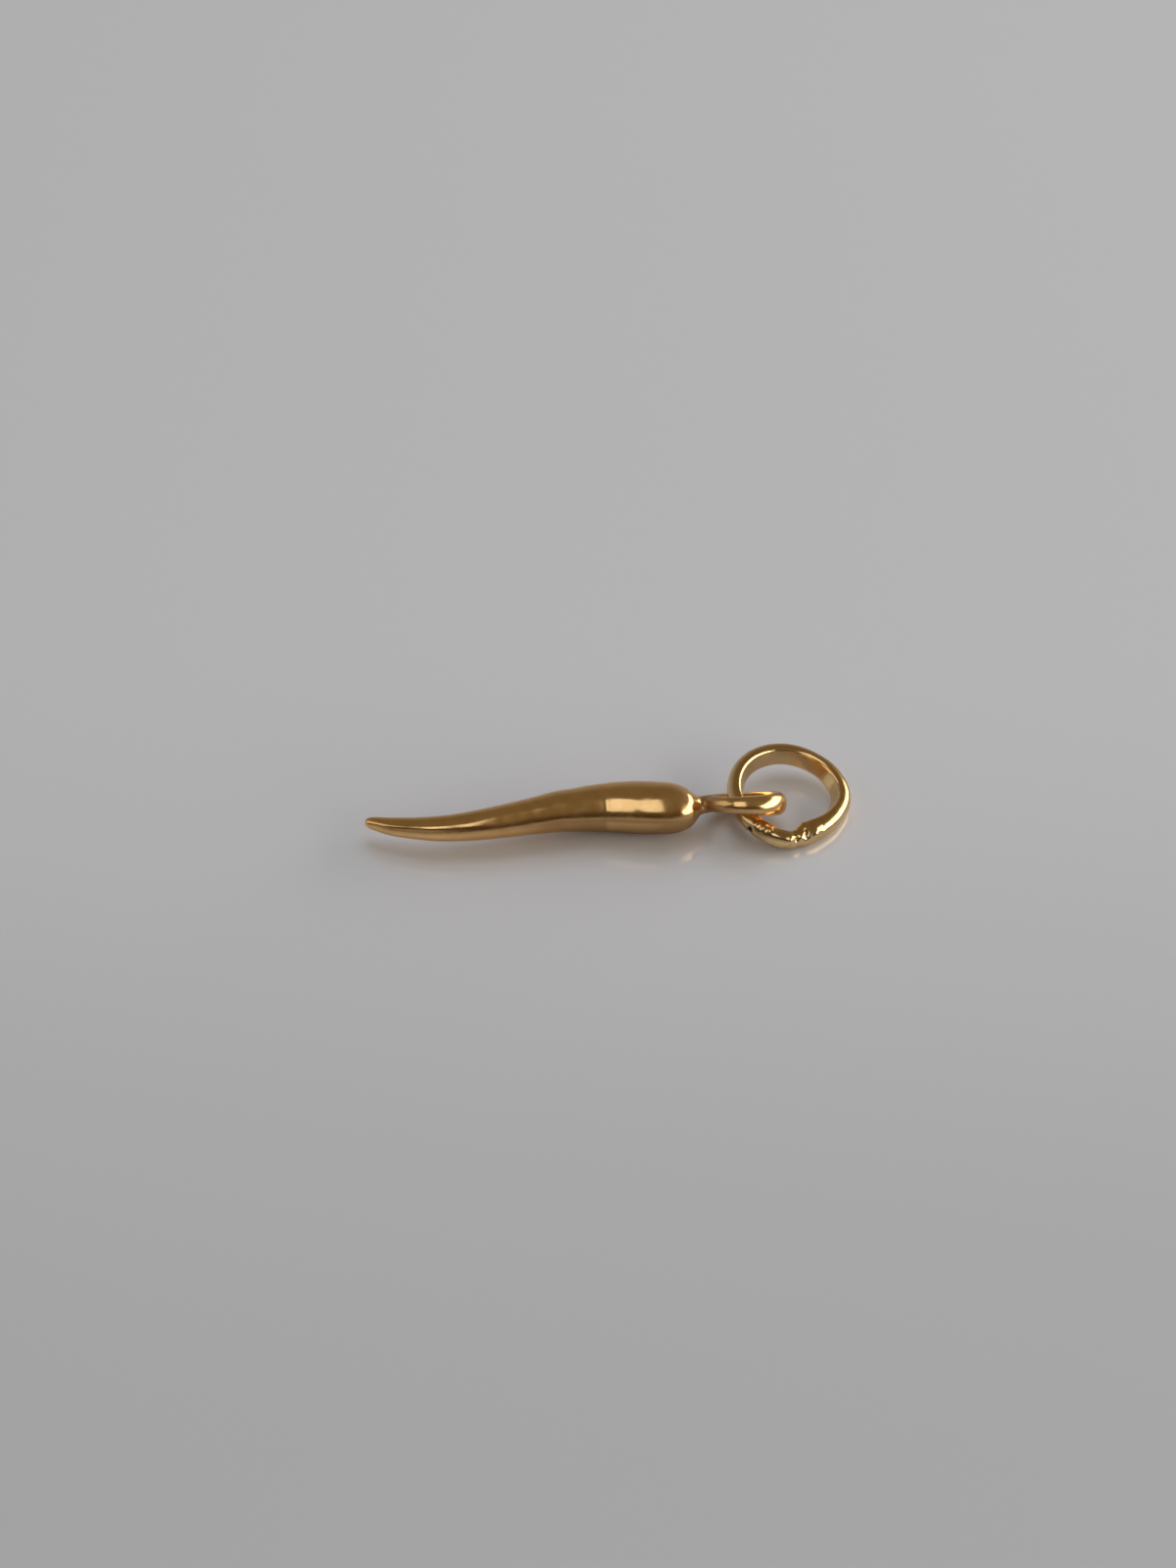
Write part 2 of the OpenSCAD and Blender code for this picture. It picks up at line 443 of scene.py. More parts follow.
def soft_step(
    tree: bpy.types.NodeTree,
    value: bpy.types.NodeSocket,
    step: Pair,
    low: float = 0.0,
    high: float = 1.0,
) -> bpy.types.NodeSocket:
    """Node that turns a value into a soft step from low to high.

    Args:
        tree: The node tree to build in.
        value: The socket that gives the value.
        step: Where the step starts and where it ends.
        low: The result before the start.
        high: The result past the end.

    Returns:
        The socket with the result.
    """
    ramp = tree.nodes.new("ShaderNodeMapRange")
    ramp.interpolation_type = "SMOOTHSTEP"
    for name, number in (("From Min", step[0]), ("From Max", step[1]), ("To Min", low), ("To Max", high)):
        ramp.inputs[name].default_value = number
    tree.links.new(value, ramp.inputs["Value"])
    return ramp.outputs["Result"]


def mixed_color(
    tree: bpy.types.NodeTree, share: bpy.types.NodeSocket, first: Color, second: Color
) -> bpy.types.NodeSocket:
    """Node that mixes two colours.

    Args:
        tree: The node tree to build in.
        share: The socket that gives the second colour's share.
        first: A plain colour, or the socket that gives it.
        second: Another colour or socket.

    Returns:
        The socket with the mixed colour.
    """
    mix = tree.nodes.new("ShaderNodeMix")
    mix.data_type = "RGBA"
    tree.links.new(share, mix.inputs[0])
    for color, socket in ((first, mix.inputs[6]), (second, mix.inputs[7])):
        if isinstance(color, tuple):
            socket.default_value = (*color, 1.0)
        else:
            tree.links.new(color, socket)
    return mix.outputs[2]


def grain(
    tree: bpy.types.NodeTree,
    place: bpy.types.NodeSocket,
    scale: float,
    detail: float,
    shift: Triple = (0.0, 0.0, 0.0),
    stretch: Triple = (1.0, 1.0, 1.0),
) -> bpy.types.NodeSocket:
    """Nodes for a noise texture.

    Args:
        tree: The node tree to build in.
        place: The socket that gives the place on the object.
        scale: How many waves a metre holds.
        detail: How many finer waves lie on them.
        shift: How far the place is moved first.
        stretch: How often the waves repeat along each axis, as multiples of the scale.

    Returns:
        The socket with the noise.
    """
    moved = tree.nodes.new("ShaderNodeMapping")
    moved.inputs["Location"].default_value = shift
    moved.inputs["Scale"].default_value = stretch
    tree.links.new(place, moved.inputs["Vector"])
    texture = tree.nodes.new("ShaderNodeTexNoise")
    texture.inputs["Scale"].default_value = scale
    texture.inputs["Detail"].default_value = detail
    tree.links.new(moved.outputs["Vector"], texture.inputs["Vector"])
    return texture.outputs["Fac"]


@dataclass(frozen=True)
class Gold:
    """Polished yellow gold with fine wear, a darker colour that is the solder's at the horn's joint and
    painted shade elsewhere, and near-black painted shade in pits.
    """

    name: str
    color: Triple
    edge_color: Triple
    solder_and_shade_color: Triple
    roughness: float
    worn_roughness: float
    dark_dulling: float
    scratch_depth: float
    seed: float
    # Near-black painted shade in the band's pits, which is also duller.
    pit_shade_color: Triple = (0.05, 0.03, 0.02)
    pit_shade_dulling: float = 0.3
    refraction: float = 1.45
    noise_drift: float = 0.3
    tint_scale: float = 900.0
    tint_detail: float = 4.0
    tint_step: Pair = (0.35, 0.75)
    wear_scale: float = 1600.0
    wear_detail: float = 6.0
    wear_step: Pair = (0.3, 0.7)
    scratch_scale: float = 2200.0
    scratch_detail: float = 5.0
    scratch_stretch: Triple = (1.0, 6.0, 6.0)
    scratch_strength: float = 0.35

    @property
    def shift(self) -> Triple:
        """How far this gold's textures are moved aside, so that no two pieces look alike."""
        return (self.seed, self.seed * self.noise_drift, 0.0)

    def material(self) -> bpy.types.Material:
        """Builds the procedural material.

        Returns:
            A metal whose colour and gloss vary over its surface.
        """
        material = bpy.data.materials.new(self.name)
        material.use_nodes = True
        tree = material.node_tree
        tree.nodes.clear()
        output = tree.nodes.new("ShaderNodeOutputMaterial")
        shader = tree.nodes.new("ShaderNodeBsdfPrincipled")
        shader.inputs["Metallic"].default_value = 1.0
        shader.inputs["IOR"].default_value = self.refraction
        place = tree.nodes.new("ShaderNodeTexCoord").outputs["Object"]
        solder_and_shade, pit_shade = (self.share(tree, shade) for shade in (Shade.TINTED, Shade.STAINED))
        tree.links.new(self.surface_color(tree, place, solder_and_shade, pit_shade), shader.inputs["Base Color"])
        tree.links.new(self.surface_gloss(tree, place, solder_and_shade, pit_shade), shader.inputs["Roughness"])
        tree.links.new(self.scratched(tree, place), shader.inputs["Normal"])
        tree.links.new(shader.outputs["BSDF"], output.inputs["Surface"])
        return material

    def share(self, tree: bpy.types.NodeTree, shade: Shade) -> bpy.types.NodeSocket:
        """Node that reads the share that each point carries, which is none where the mesh has no such.

        Args:
            tree: The node tree to build in.
            shade: Which darker colour.

        Returns:
            The socket with the share.
        """
        attribute = tree.nodes.new("ShaderNodeAttribute")
        attribute.attribute_name = shade.value
        return attribute.outputs["Fac"]

    def surface_color(
        self,
        tree: bpy.types.NodeTree,
        place: bpy.types.NodeSocket,
        solder_and_shade: bpy.types.NodeSocket,
        pit_shade: bpy.types.NodeSocket,
    ) -> bpy.types.NodeSocket:
        """Nodes for the gold's colour.

        Args:
            tree: The node tree to build in.
            place: The socket that gives the place on the object.
            solder_and_shade: The socket with the share of the dark colour: solder at the horn's joint,
                painted shade elsewhere.
            pit_shade: The socket with the share of the near-black painted shade in pits.

        Returns:
            The socket with the colour.
        """
        patches = grain(tree, place, self.tint_scale, self.tint_detail, shift=self.shift)
        worn = mixed_color(tree, soft_step(tree, patches, self.tint_step), self.color, self.edge_color)
        darkened = mixed_color(tree, solder_and_shade, worn, self.solder_and_shade_color)
        return mixed_color(tree, pit_shade, darkened, self.pit_shade_color)

    def surface_gloss(
        self,
        tree: bpy.types.NodeTree,
        place: bpy.types.NodeSocket,
        solder_and_shade: bpy.types.NodeSocket,
        pit_shade: bpy.types.NodeSocket,
    ) -> bpy.types.NodeSocket:
        """Nodes for the gold's roughness, which wear, the dark solder colour with its painted shade, and
        the painted shade in pits each raise.

        Args:
            tree: The node tree to build in.
            place: The socket that gives the place on the object.
            solder_and_shade: The socket with the share of the dark colour: solder at the horn's joint,
                painted shade elsewhere.
            pit_shade: The socket with the share of the near-black painted shade in pits.

        Returns:
            The socket with the roughness.
        """
        wear = grain(tree, place, self.wear_scale, self.wear_detail, shift=self.shift)
        gloss = soft_step(tree, wear, self.wear_step, self.roughness, self.worn_roughness)
        for share, dulling in ((solder_and_shade, self.dark_dulling), (pit_shade, self.pit_shade_dulling)):
            duller = tree.nodes.new("ShaderNodeMath")
            duller.operation = "MULTIPLY_ADD"
            tree.links.new(share, duller.inputs[0])
            duller.inputs[1].default_value = dulling
            tree.links.new(gloss, duller.inputs[2])
            gloss = duller.outputs["Value"]
        return gloss

    def scratched(self, tree: bpy.types.NodeTree, place: bpy.types.NodeSocket) -> bpy.types.NodeSocket:
        """Nodes for fine scratches that run mostly along the piece.

        Args:
            tree: The node tree to build in.
            place: The socket that gives the place on the object.

        Returns:
            The socket with the bent normal.
        """
        scratches = grain(
            tree, place, self.scratch_scale, self.scratch_detail, stretch=self.scratch_stretch
        )
        bump = tree.nodes.new("ShaderNodeBump")
        bump.inputs["Strength"].default_value = self.scratch_strength
        bump.inputs["Distance"].default_value = self.scratch_depth * MM
        tree.links.new(scratches, bump.inputs["Height"])
        return bump.outputs["Normal"]


HORN_GOLD = Gold(
    "horn_gold",
    color=(0.92, 0.57, 0.23),
    edge_color=(0.84, 0.49, 0.19),
    # Darker solder at the joint, and painted shade round the neck.
    solder_and_shade_color=(0.55, 0.31, 0.15),
    roughness=0.12,
    worn_roughness=0.22,
    dark_dulling=0.34,
    scratch_depth=0.008,
    seed=0.2,
)

BAIL_GOLD = Gold(
    "bail_gold",
    color=(0.90, 0.64, 0.31),
    edge_color=(0.83, 0.56, 0.26),
    # Painted shade on the bail's upward-facing rim.
    solder_and_shade_color=(0.72, 0.43, 0.15),
    roughness=0.09,
    worn_roughness=0.18,
    dark_dulling=0.08,
    scratch_depth=0.006,
    seed=0.6,
)


def set_in_frame(piece: bpy.types.Object, material: bpy.types.Material, node: str) -> None:
    """Gives a piece its finish and its place in the frame, and reports it.

    Args:
        piece: The finished mesh.
        material: Its material.
        node: The frame's node that it stands for.
    """
    piece.data.materials.clear()
    piece.data.materials.append(material)
    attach(piece, Body.ROOT.value)
    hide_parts(node)
    low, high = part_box(node)
    cloud = mesh_points(piece)
    LOG.info(
        "%s: %d faces, box off by %s mm",
        piece.name,
        len(piece.data.polygons),
        np.round(np.concatenate([cloud.min(0) - low, cloud.max(0) - high]) / MM, 3),
    )


@dataclass
class Horn:
    """The curved horn and the loop soldered to its neck."""

    length: float = 19.7
    head: float = 3.16
    sway: float = 1.86
    neck: float = 0.94
    loop_inner_length: float = 3.16
    loop_inner_width: float = 2.6
    wire_thickness: float = 0.76
    wire_width: float = 0.94
    end_thickness: float = 0.92
    end_width: float = 1.36
    loop_off: float = 0.12
    fillet: float = 0.25
    neck_from: float = 0.9
    neck_full: float = 0.95
    neck_sink: float = 0.8
    spread: float = 2.0
    lean_rounds: int = 6
    crowding: float = 0.7
    tangent_step: float = 0.02
    ridge_turn: float = math.radians(47)
    ridge_reach: float = math.radians(13)
    waves: Waves = ((2.2, 0.014), (0.9, 0.009), (0.4, 0.002))
    wave_seed: float = 3.1
    solder_before: float = 1.0
    solder_after: float = 0.8
    solder_reach: float = 0.5
    solder_spread: float = 1.6
    # Painted shade round the neck: a darker band centred just past the body's end.
    neck_shade_middle: float = 0.4
    neck_shade_reach: float = 0.5
    tint: float = 0.8
    soften_rounds: int = 120
    rings: int = 260
    sides: int = 96
    loop_steps: int = 240
    loop_sides: int = 48

    def half_thick(self, u: Points) -> Points:
        """Half the loop wire's thickness, from 0 at the neck to 1 at the outer end."""
        return (self.wire_thickness + (self.end_thickness - self.wire_thickness) * u) / 2

    def half_wide(self, u: Points) -> Points:
        """Half the loop wire's width, from 0 at the neck to 1 at the outer end."""
        return (self.wire_width + (self.end_width - self.wire_width) * u**self.spread) / 2

    @property
    def loop_a(self) -> float:
        """Half the length of the loop's middle line."""
        return (self.loop_inner_length + self.half_thick(0) + self.half_thick(1)) / 2

    @property
    def loop_b(self) -> float:
        """Half the width of the loop's middle line."""
        return self.loop_inner_width / 2 + self.half_thick(0.5)

    @property
    def loop_x(self) -> float:
        """Where the loop's middle is along the horn."""
        return self.length + self.half_thick(0) + self.loop_a

    def wire_reach(self, lean: float) -> float:
        """How far the loop's wire reaches up or down from its middle line where the loop leans."""
        return math.hypot(self.half_thick(0.5) * math.sin(lean), self.half_wide(0.5) * math.cos(lean))

    @property
    def loop_lean(self) -> float:
        """How far the loop leans until its far side lies on the surface.

        Returns:
            The lean in radians. The wire's reach depends on it, so it is found in a few rounds.
        """
        lean = 0.0
        for _ in range(self.lean_rounds):
            lean = math.asin(min(1.0, (self.head / 2 - self.wire_reach(lean)) / self.loop_b))
        return lean

    def axis(self, place: Points) -> Points:
        """Points on the horn's middle line.

        Args:
            place: Places along the horn, from 0 at the tip to 1 at the neck.

        Returns:
            The point at each place.
        """
        return np.stack(
            [
                place * self.length,
                -self.sway * eased(HORN_ROWS, "sway", place),
                self.head / 2 * eased(HORN_ROWS, "rise", place),
            ],
            axis=-1,
        )

    def radius(self, place: Points) -> Points:
        """The horn's radius, which runs softly into the neck.

        Args:
            place: Places along the horn, from 0 to 1.

        Returns:
            The radius at each place.
        """
        body = self.head / 2 * eased(HORN_ROWS, "girth", place)
        grown = np.clip((place - self.neck_from) / (self.neck_full - self.neck_from), 0, 1)
        necked = blended(body, self.neck / 2 * grown, self.fillet * self.neck)
        return np.where(place < self.neck_from, body, necked)

    def ridge(self, place: Points, turn: Points) -> Points:
        """How far the tip's soft ridge stands out, for each place along the horn and each turn round it."""
        faded = eased(RIDGE_ROWS, "height", place) * self.radius(place)
        return faded[:, None] * np.exp(-(((turn - self.ridge_turn) / self.ridge_reach) ** 2))

    def marked(self, place: Points, turn: Points) -> Points:
        """How far shallow bumps and dents move the surface.

        Args:
            place: Places along the horn, from 0 to 1.
            turn: Turns round it, in radians.

        Returns:
            The height at each place, with a column for each turn.
        """
        moved = np.zeros((len(place), len(turn)))
        for mark in HORN_MARKS:
            along = (place - mark.at) * self.length
            across = (turn - math.radians(mark.turn)) * self.head / 2
            moved += mark.height * np.exp(-(along[:, None] ** 2 + across**2) / mark.reach**2)
        return moved

    def body_points(self) -> Points:
        """Points of the horn's body, in rings that lie closer together at both of its ends.

        Returns:
            The rings one after the other, the last of which lies inside the loop's wire.
        """
        u = np.arange(self.rings + 1) / self.rings
        place = self.crowding * (1 - np.cos(np.pi * u)) / 2 + (1 - self.crowding) * u
        step = self.tangent_step
        along = unit(self.axis(np.minimum(place + step, 1)) - self.axis(np.maximum(place - step, 0)))
        out = unit(np.cross(along, [0.0, 0.0, 1.0]))
        up = np.cross(out, along)
        turn = 2 * np.pi * np.arange(self.sides) / self.sides
        spokes = np.cos(turn)[None, :, None] * out[:, None] + np.sin(turn)[None, :, None] * up[:, None]
        relief = self.ridge(place, turn) + self.marked(place, turn)
        rings = self.axis(place)[:, None] + (self.radius(place)[:, None] + relief)[..., None] * spokes
        thin = self.half_thick(0)
        centre = np.array([self.length + thin, 0.0, self.head / 2])
        spoke = np.stack([np.zeros(self.sides), -np.cos(turn), np.sin(turn)], axis=-1)
        last = centre + self.neck_sink * thin * spoke
        return np.concatenate([rings, last[None]]).reshape(-1, 3)

    def leaning(self, points: Points) -> Points:
        """Sets the loop into the horn's frame.

        Args:
            points: Points in the loop's own plane, round its middle.

        Returns:
            The same points beside the horn, leaning.
        """
        lean = self.loop_lean
        return np.stack(
            [
                self.loop_x + points[..., 0],
                self.loop_off + points[..., 1] * math.cos(lean) + points[..., 2] * math.sin(lean),
                self.head / 2 - points[..., 1] * math.sin(lean) + points[..., 2] * math.cos(lean),
            ],
            axis=-1,
        )

    def loop_points(self) -> Points:
        """Points of the loop's wire, which is an oval that grows towards the outer end.

        Returns:
            Rings of points, one after the other, in the horn's frame.
        """
        turn = 2 * np.pi * np.arange(self.loop_steps) / self.loop_steps
        u = (1 + np.cos(turn)) / 2
        zero = np.zeros_like(turn)
        line = np.stack([self.loop_a * np.cos(turn), self.loop_b * np.sin(turn), zero], axis=-1)
        out = unit(np.stack([self.loop_b * np.cos(turn), self.loop_a * np.sin(turn), zero], axis=-1))
        side = 2 * np.pi * np.arange(self.loop_sides) / self.loop_sides
        across = np.array([0.0, 0.0, 1.0])
        rings = (
            line[:, None]
            + (self.half_thick(u)[:, None] * np.cos(side))[..., None] * out[:, None]
            + (self.half_wide(u)[:, None] * np.sin(side))[..., None] * across
        )
        return self.leaning(rings).reshape(-1, 3)

    def body_distance(self, points: Points) -> Points:
        """How far points near the neck lie outside the horn's body.

        Args:
            points: Points in the horn's frame.

        Returns:
            The distance of each, in millimetres, below zero inside.
        """
        place = np.clip(points[:, 0] / self.length, 0, 1)
        centre = self.axis(place)
        return np.linalg.norm((points - centre)[:, 1:], axis=1) - self.radius(place)

    def loop_distance(self, points: Points) -> Points:
        """How far points near the neck lie outside the loop's wire.

        Args:
            points: Points in the horn's frame.

        Returns:
            The distance of each, in millimetres, below zero inside.
        """
        lean = self.loop_lean
        x = points[:, 0] - self.loop_x
        y0, z0 = points[:, 1] - self.loop_off, points[:, 2] - self.head / 2
        y = y0 * math.cos(lean) - z0 * math.sin(lean)
        z = y0 * math.sin(lean) + z0 * math.cos(lean)
        turn = np.arctan2(y / self.loop_b, x / self.loop_a)
        u = (1 + np.cos(turn)) / 2
        off = np.hypot(x - self.loop_a * np.cos(turn), y - self.loop_b * np.sin(turn))
        thick, wide = self.half_thick(u), self.half_wide(u)
        share = np.hypot(off / thick, z / wide)
        return (share - 1) * np.where(share > TINY, np.hypot(off, z) / np.maximum(share, TINY), thick)

    def build(self) -> bpy.types.Object:
        """Makes the horn: body and loop as one solid, with solder drawn into the corner between them.

        Returns:
            The finished piece, still in the horn's own frame.
        """
        horn = mesh_object(
            "horn_body", self.body_points(), grid_faces(self.rings + 2, self.sides, closed=False)
        )
        loop = mesh_object(
            "horn_loop", self.loop_points(), grid_faces(self.loop_steps, self.loop_sides, closed=True)
        )
        fuse(horn, loop)
        points, normals = mesh_points(horn) / MM, mesh_normals(horn)
        past, reach = points[:, 0] - self.length, self.solder_reach
        near = (past > -self.solder_before) & (past < self.solder_after)
        apart = np.abs(self.body_distance(points) - self.loop_distance(points))
        fill = np.where(near, np.maximum(reach - apart, 0), 0) ** 2 / (4 * reach)
        uneven = hand_worked(points, self.waves, self.wave_seed)
        set_points(horn, (points + normals * (fill + uneven)[:, None]) * MM)
        # The darker colour: solder where body and loop meet, and painted shade over the neck around them.
        solder = np.where(near, np.clip(self.solder_spread * (1 - apart / reach), 0, 1), 0)
        neck_shade = np.exp(-(((past - self.neck_shade_middle) / self.neck_shade_reach) ** 2))
        paint(horn, Shade.TINTED, self.tint * np.maximum(solder, neck_shade))
        soften(horn, solder, self.soften_rounds)
        return horn

    def dress(self, horn: bpy.types.Object) -> None:
        """Gives the seated horn its gold and its place in the frame."""
        set_in_frame(horn, HORN_GOLD.material(), "horn")


@dataclass
class Bail:
    """The band bent round into an egg-shaped ring, which hangs in the horn's loop."""

    inner: float = 5.94
    width: float = 1.22
    thickness: float = 0.78
    taper: float = 0.36
    link_gap: float = 0.26
    roll: float = math.radians(8)
    join: float = math.radians(-79)
    wall_share: float = 0.28
    shift: float = 0.07
    edge: float = 0.11
    edge_bulge: float = 0.3
    fullest: float = 0.42
    square_below: float = 0.7
    rim_from: float = 0.7
    rim_full: float = 0.95
    mark_stretch: float = 0.65
    # Painted shade in the pits: near-black, darker the deeper the pit.
    pit_shade_depth: float = 0.12
    pit_shade_start: float = 0.2
    waves: Waves = ((1.7, 0.012), (0.6, 0.006))
    wave_seed: float = 8.4
    steps: int = 720
    edge_steps: int = 5
    face_steps: int = 10
    round_steps: int = 32

    def corner(self, before: Points, here: Points, after: Points) -> list[Points]:
        """Bevels a corner of the band by its edge size, and rounds the bevel a little.

        Args:
            before: The point before the corner, a row for each section.
            here: The corner.
            after: The point after it.

        Returns:
            The points that take the corner's place.
        """
        start = here + unit(before - here) * self.edge
        end = here + unit(after - here) * self.edge
        steps = np.linspace(0, 1, self.edge_steps + 1)
        bulge = here - (start + end) / 2
        return [start + (end - start) * t + 2 * t * (1 - t) * self.edge_bulge * bulge for t in steps]

    def face(self, here: Points, after: Points) -> list[Points]:
        """Divides the flat inner face between its two bevelled corners.

        Args:
            here: The corner it starts at, a row for each section.
            after: The corner it ends at.

        Returns:
            The points between the two bevels.
        """
        start = here + unit(after - here) * self.edge
        end = after + unit(here - after) * self.edge
        return [start + (end - start) * t for t in np.arange(1, self.face_steps) / self.face_steps]

    def outline(self, turn: Points) -> tuple[Points, Points]:
        """The band's section at each turn: distances from the bail's axis, and heights.

        Args:
            turn: Degrees from the join.

        Returns:
            The distance and the height of each point of the outline, a row for each turn.
        """
        high = self.width * eased(BAND_ROWS, "width", turn)
        inner = self.inner / 2 * eased(BAND_ROWS, "out", turn)
        wall = self.thickness * eased(BAND_ROWS, "wall", turn)
        flat_edge = inner + wall * eased(FLAT_ROWS, "flat", turn)
        swell = inner + wall - flat_edge
        low = np.zeros_like(high)
        upper, lower = np.stack([inner, high], -1), np.stack([inner - self.taper, low], -1)
        start, finish = np.stack([flat_edge, high], -1), np.stack([flat_edge, low], -1)
        points = self.corner(start, upper, lower)
        points += self.face(upper, lower)
        points += self.corner(upper, lower, finish)
        for up in np.linspace(-np.pi / 2, np.pi / 2, self.round_steps + 1):
            square = self.square_below if up < 0 else 1.0
            reach = self.fullest if up < 0 else 1 - self.fullest
            out = flat_edge + swell * abs(math.cos(up)) ** square
            rise = high * (self.fullest + reach * math.copysign(abs(math.sin(up)) ** square, up))
            points.append(np.stack([out, rise], -1))
        section = np.stack(points, axis=1)
        return section[..., 0], section[..., 1]

    def own_points(self) -> tuple[Points, int]:
        """Points of the band before it is tipped.

        Returns:
            Rings of points, one after the other, and how many points each ring has.
        """
        turn = 360 * np.arange(self.steps) / self.steps
        outs, ups = self.outline(turn)
        direction = np.radians(turn)[:, None] + self.join
        rings = np.stack([outs * np.cos(direction), outs * np.sin(direction), ups], axis=-1)
        return rings.reshape(-1, 3), outs.shape[1]

    def marked(self, points: Points) -> Points:
        """How far small bumps and pits move each point.

        Args:
            points: Points of the band before it is tipped.

        Returns:
            The height at each, in millimetres, below zero in a pit.
        """
        moved = np.zeros(len(points))
        for mark in BAND_MARKS:
            angle = math.radians(mark.turn) + self.join
            offset = points - [mark.out * math.cos(angle), mark.out * math.sin(angle), mark.up]
            along = offset @ np.array([-math.sin(angle), math.cos(angle), 0.0])
            across = np.sum(offset**2, axis=1) - along**2
            squared = along**2 + across * self.mark_stretch**2
            moved += mark.height * np.exp(-squared / mark.reach**2)
        return moved

    def place(self, horn: Horn) -> tuple[float, float, float]:
        """Where the bail's middle is beside the loop, and how far it leans.

        Args:
            horn: The horn that the bail is linked to.

        Returns:
            The middle along and across the horn, and the lean in radians.
        """
        left = np.array([180.0 - math.degrees(self.join)])
        wall_in = float(self.inner / 2 * eased(BAND_ROWS, "out", left)[0]) - self.taper
        wall_out = wall_in + self.taper + self.thickness
        x = horn.loop_x - self.wall_share * horn.loop_a + (wall_in + wall_out) / 2
        lean = horn.loop_lean
        y = horn.loop_off + horn.loop_b * math.cos(lean) + self.shift * horn.loop_inner_width
        across = horn.loop_b * math.sin(lean) * math.sqrt(1 - self.wall_share**2)
        raised = (horn.head / 2 - across + horn.wire_reach(lean) + self.link_gap) / wall_out
        return x, y, math.asin((raised - math.sin(self.roll) ** 2 / raised) / 2)

    def tipped(self, points: Points, lean: float) -> Points:
        """Tips the bail as it lies: first by its roll, then by its lean.

        Args:
            points: Points of the band as own_points makes them.
            lean: How far it leans, in radians.

        Returns:
            The same points, tipped.
        """
        x = points[:, 0]
        y = points[:, 1] * math.cos(self.roll) - points[:, 2] * math.sin(self.roll)
        z = points[:, 1] * math.sin(self.roll) + points[:, 2] * math.cos(self.roll)
        return np.stack(
            [x * math.cos(lean) + z * math.sin(lean), y, z * math.cos(lean) - x * math.sin(lean)], axis=-1
        )

    def build(self, horn: Horn) -> bpy.types.Object:
        """Makes the bail, with the marks of its making.

        Args:
            horn: The horn that the bail is linked to.

        Returns:
            The finished piece, in the horn's own frame.
        """
        points, sides = self.own_points()
        bail = mesh_object("bail_band", points, grid_faces(self.steps, sides, closed=True))
        normals = mesh_normals(bail)
        if float(np.mean(np.sum(normals * (points - points.mean(0)), axis=1))) < 0:
            bail.data.flip_normals()
            normals = mesh_normals(bail)
        marks = self.marked(points)
        uneven = hand_worked(points, self.waves, self.wave_seed)
        points = points + normals * (marks + uneven)[:, None]
        x, y, lean = self.place(horn)
        set_points(bail, (self.tipped(points, lean) + [x, y, 0.0]) * MM)
        # Painted shade: the upward-facing rim takes the darker colour.
        rim = (normals[:, 2] - self.rim_from) / (self.rim_full - self.rim_from)
        paint(bail, Shade.TINTED, np.clip(rim, 0, 1))
        # Painted shade: near-black in the pits, darker the deeper they are.
        paint(bail, Shade.STAINED, np.clip(-marks / self.pit_shade_depth - self.pit_shade_start, 0, 1))
        return bail

    def dress(self, bail: bpy.types.Object) -> None:
        """Gives the seated bail its gold and its place in the frame."""
        set_in_frame(bail, BAIL_GOLD.material(), "bail")


def seat(pieces: list[bpy.types.Object]) -> None:
    """Moves pieces from the horn's own frame into the model's, with its origin under their middle.

    Args:
        pieces: All the pieces of the pendant. Each of them touches the surface.
    """
    clouds = [mesh_points(piece) for piece in pieces]
    every = np.concatenate(clouds)
    middle = (every.min(0) + every.max(0)) / 2
    for piece, cloud in zip(pieces, clouds):
        set_points(piece, cloud - [middle[0], middle[1], cloud[:, 2].min()])


@dataclass(frozen=True)
class View:
    """The photograph's viewpoint, worked out from the pendant's outline."""

    elevation: float = math.radians(43)
    distance: float = 150.0
    focal_px: float = 2560.0
    aim: Pair = (-1.27, 2.24)
    sensor_mm: float = 36.0
    nearest: float = 5.0
    farthest: float = 10000.0

    def make(self) -> bpy.types.Object:
        """Makes the camera.

        Returns:
            The camera object, set as the scene's camera.
        """
        data = bpy.data.cameras.new("view")
        data.sensor_fit = "HORIZONTAL"
        data.sensor_width = self.sensor_mm
        data.lens = self.sensor_mm * self.focal_px / PHOTO_WIDTH_PX
        data.clip_start = self.nearest * MM
        data.clip_end = self.farthest * MM
        camera = bpy.data.objects.new("view", data)
        ahead = Vector((0.0, math.cos(self.elevation), -math.sin(self.elevation)))
        target = Vector((*self.aim, 0.0))
        camera.location = (target - ahead * self.distance) * MM
        camera.rotation_euler = ahead.to_track_quat("-Z", "Y").to_euler()
        bpy.context.scene.collection.objects.link(camera)
        bpy.context.scene.camera = camera
        return camera


